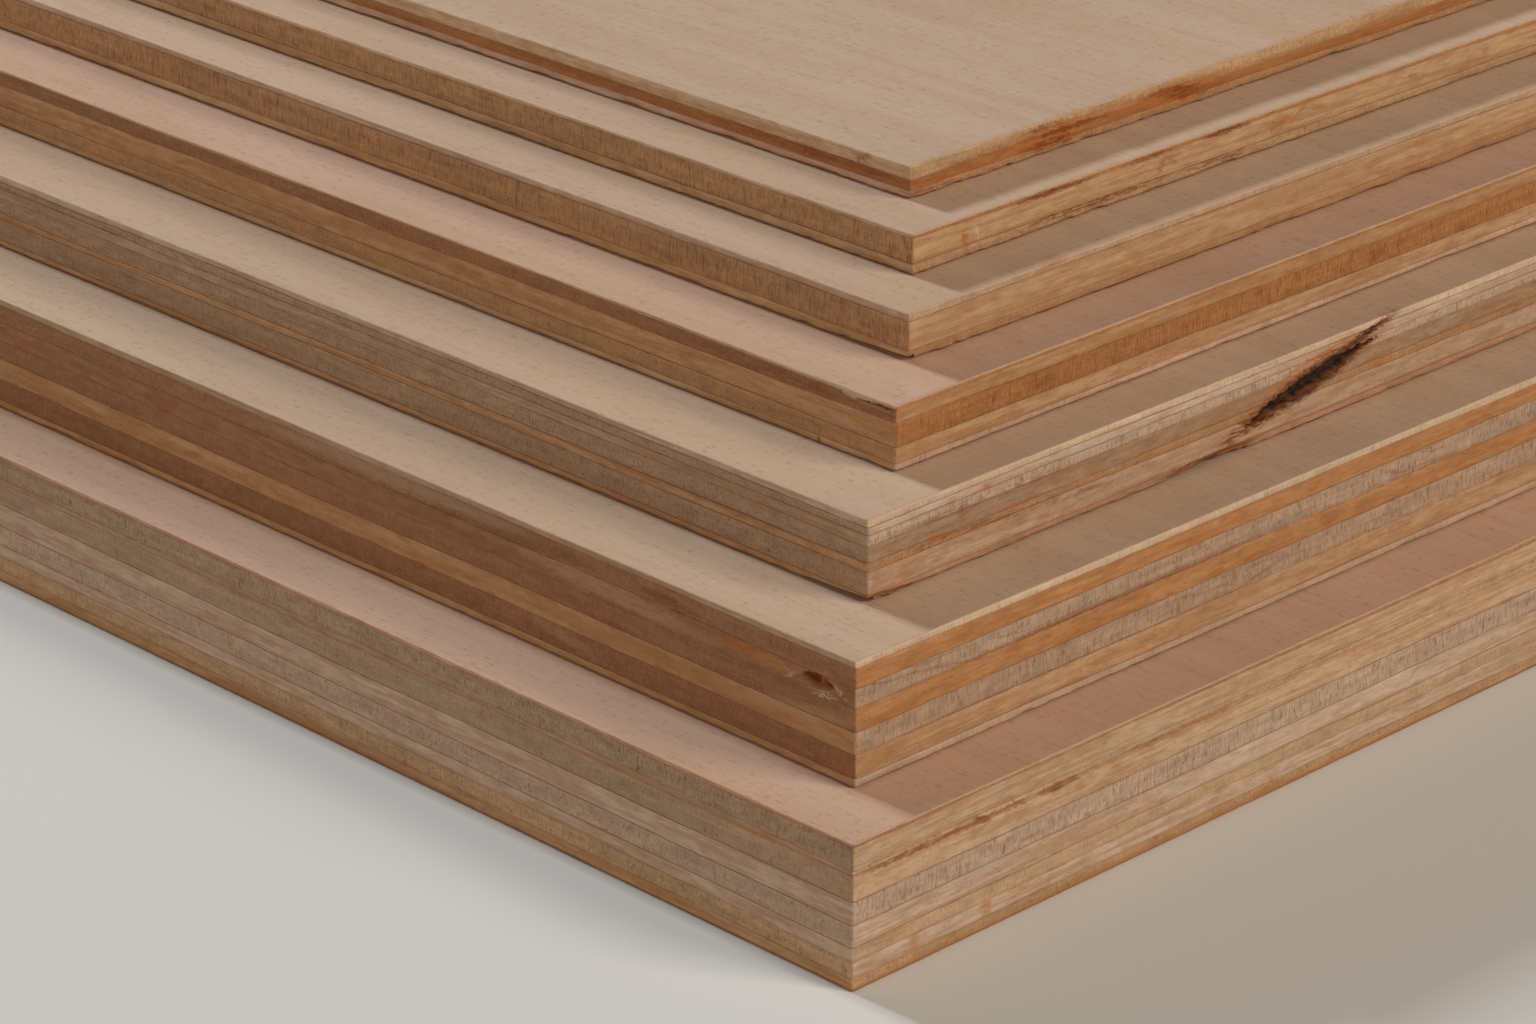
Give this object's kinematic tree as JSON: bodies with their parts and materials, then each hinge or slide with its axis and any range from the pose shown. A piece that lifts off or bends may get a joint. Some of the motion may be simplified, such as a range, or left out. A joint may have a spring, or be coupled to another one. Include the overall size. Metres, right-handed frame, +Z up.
{
  "type": "stack of plywood sheets",
  "caption": "Stepped stack of plywood sheets of graded thickness, each set back from the one below so that the crossed veneers show along two edges.",
  "frame": {"origin": "middle of the stack's box, on the floor that the bottom sheet lies on", "axes": "+X along the face grain and the sheets' long side, towards the corner that shows all the steps; +Y across the grain, away from that corner; +Z up"},
  "size_m": [0.6584, 0.3696, 0.0785],
  "materials": {
    "surface_veneer": "pale sanded beech veneer with fine dark flecks along the grain, uncoated",
    "cross_veneer": "sawn veneer across the face grain, tan long grain on the short sides, grey-brown end grain on the long sides",
    "long_veneer": "sawn veneer along the face grain, reddish brown on the long sides, grey end grain on the short sides"
  },
  "bodies": {
    "root": {"sheet_5mm_face_veneer": "surface_veneer", "sheet_5mm_ply_2_cross": "cross_veneer", "sheet_5mm_back_veneer": "surface_veneer", "sheet_6mm_face_veneer": "surface_veneer", "sheet_6mm_ply_2_cross": "cross_veneer", "sheet_6mm_back_veneer": "surface_veneer", "sheet_7mm_face_veneer": "surface_veneer", "sheet_7mm_ply_2_cross": "cross_veneer", "sheet_7mm_back_veneer": "surface_veneer", "sheet_9_5mm_face_veneer": "surface_veneer", "sheet_9_5mm_ply_2_cross": "cross_veneer", "sheet_9_5mm_ply_3_long": "long_veneer", "sheet_9_5mm_ply_4_cross": "cross_veneer", "sheet_9_5mm_back_veneer": "surface_veneer", "sheet_12mm_face_veneer": "surface_veneer", "sheet_12mm_ply_2_cross": "cross_veneer", "sheet_12mm_ply_3_long": "long_veneer", "sheet_12mm_ply_4_cross": "cross_veneer", "sheet_12mm_ply_5_long": "long_veneer", "sheet_12mm_ply_6_cross": "cross_veneer", "sheet_12mm_back_veneer": "surface_veneer", "sheet_18mm_face_veneer": "surface_veneer", "sheet_18mm_ply_2_cross": "cross_veneer", "sheet_18mm_ply_3_long": "long_veneer", "sheet_18mm_ply_4_cross": "cross_veneer", "sheet_18mm_ply_5_long": "long_veneer", "sheet_18mm_ply_6_cross": "cross_veneer", "sheet_18mm_back_veneer": "surface_veneer", "sheet_21mm_face_veneer": "surface_veneer", "sheet_21mm_ply_2_cross": "cross_veneer", "sheet_21mm_ply_3_long": "long_veneer", "sheet_21mm_ply_4_cross": "cross_veneer", "sheet_21mm_ply_5_long": "long_veneer", "sheet_21mm_ply_6_cross": "cross_veneer", "sheet_21mm_ply_7_long": "long_veneer", "sheet_21mm_ply_8_cross": "cross_veneer", "sheet_21mm_back_veneer": "surface_veneer"}
  },
  "joints": []
}
